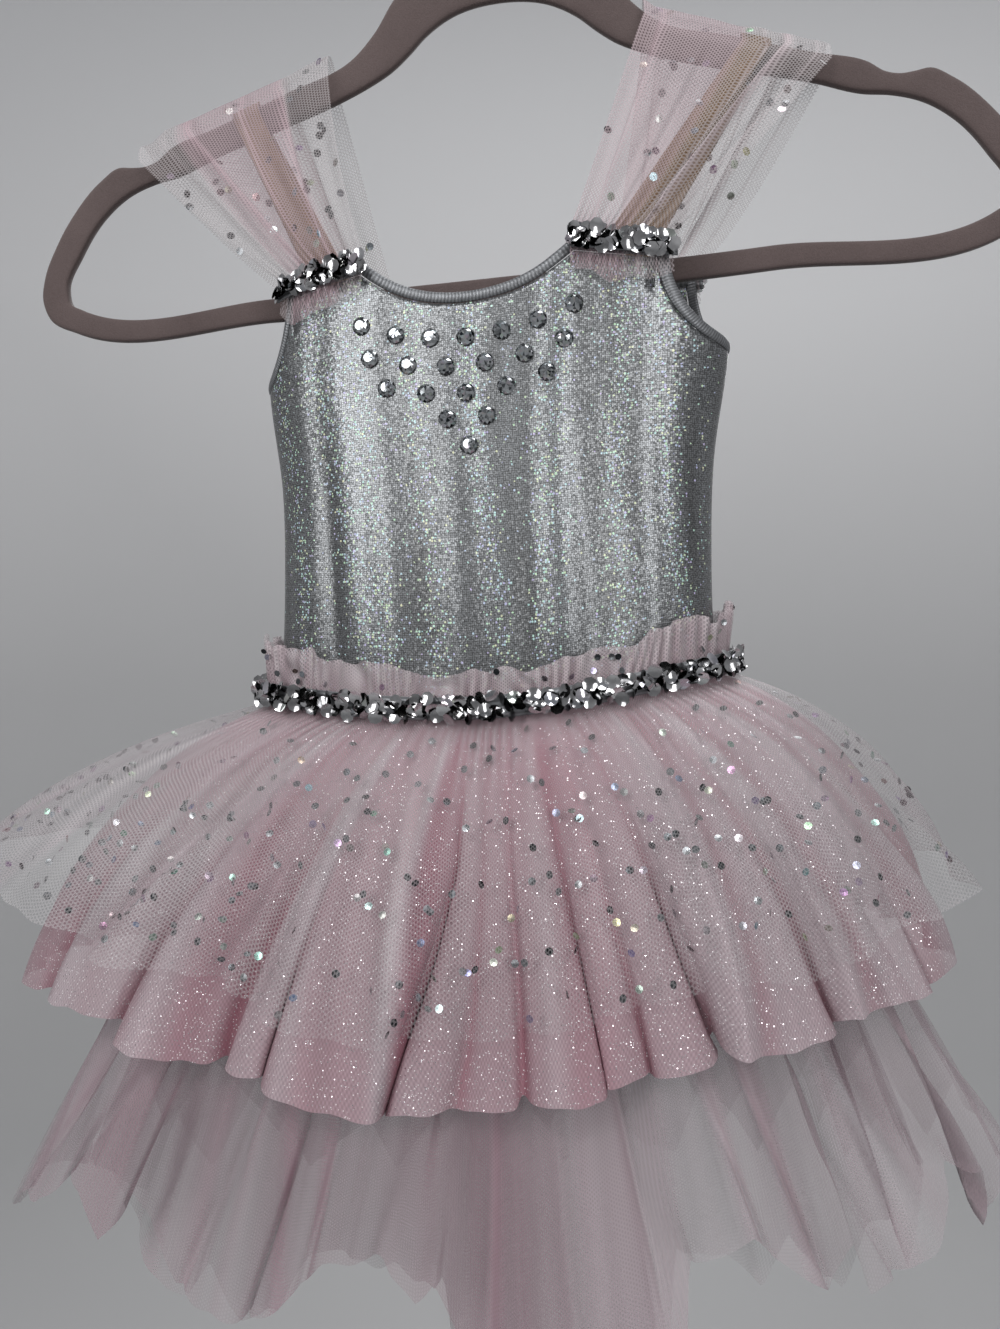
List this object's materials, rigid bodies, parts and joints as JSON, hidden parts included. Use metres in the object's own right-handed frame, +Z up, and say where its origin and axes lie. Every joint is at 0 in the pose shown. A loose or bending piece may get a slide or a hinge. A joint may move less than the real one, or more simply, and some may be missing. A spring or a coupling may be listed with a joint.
{
  "type": "princess dress and hanger",
  "caption": "Child's sleeveless costume dress with a foil jersey bodice, gathered net straps and a layered net skirt with a pointed hem, hanging on a flat flocked hanger.",
  "frame": {"origin": "the inner top of the hanger's hook, where a rail carries it", "axes": "+Z up, +X to the viewer's right, and the dress's front faces -Y"},
  "size_m": [0.4796, 0.2121, 0.7002],
  "materials": {
    "flock": "velvet flock on plastic",
    "steel": "bright plated wire",
    "foil_jersey": "stretch jersey with fine silver foil dots",
    "binding": "stitched edge of the same jersey",
    "elastic": "matt tan elastic",
    "strap_net": "soft spangled net",
    "sequins": "mirror silver cupped sequins",
    "overlay": "fine white net with spangles",
    "glitter": "pink net with metal thread",
    "under": "soft pink net",
    "stone": "clear flat-backed cut stone"
  },
  "bodies": {
    "root": {"hanger_frame": "flock", "hanger_hook": "steel", "bodice_front": "foil_jersey", "bodice_back": "foil_jersey", "neck_binding_front": "binding", "neck_binding_back": "binding", "armhole_binding_left": "binding", "armhole_binding_right": "binding", "strap_elastic_left": "elastic", "strap_elastic_right": "elastic", "strap_net_left": "strap_net", "strap_net_right": "strap_net", "strap_trim_front_left": "sequins", "strap_trim_front_right": "sequins", "strap_trim_back_left": "sequins", "strap_trim_back_right": "sequins", "waist_header_frill": "overlay", "waist_sequin_trim": "sequins", "skirt_overlay_front": "overlay", "skirt_overlay_back": "overlay", "skirt_glitter_front": "glitter", "skirt_glitter_back": "glitter", "skirt_under_front": "under", "skirt_under_back": "under", "skirt_inner_front": "under", "skirt_inner_back": "under", "rhinestone_01": "stone", "rhinestone_02": "stone", "rhinestone_03": "stone", "rhinestone_04": "stone", "rhinestone_05": "stone", "rhinestone_06": "stone", "rhinestone_07": "stone", "rhinestone_08": "stone", "rhinestone_09": "stone", "rhinestone_10": "stone", "rhinestone_11": "stone", "rhinestone_12": "stone", "rhinestone_13": "stone", "rhinestone_14": "stone", "rhinestone_15": "stone", "rhinestone_16": "stone", "rhinestone_17": "stone", "rhinestone_18": "stone", "rhinestone_19": "stone", "rhinestone_20": "stone", "rhinestone_21": "stone"}
  },
  "joints": []
}
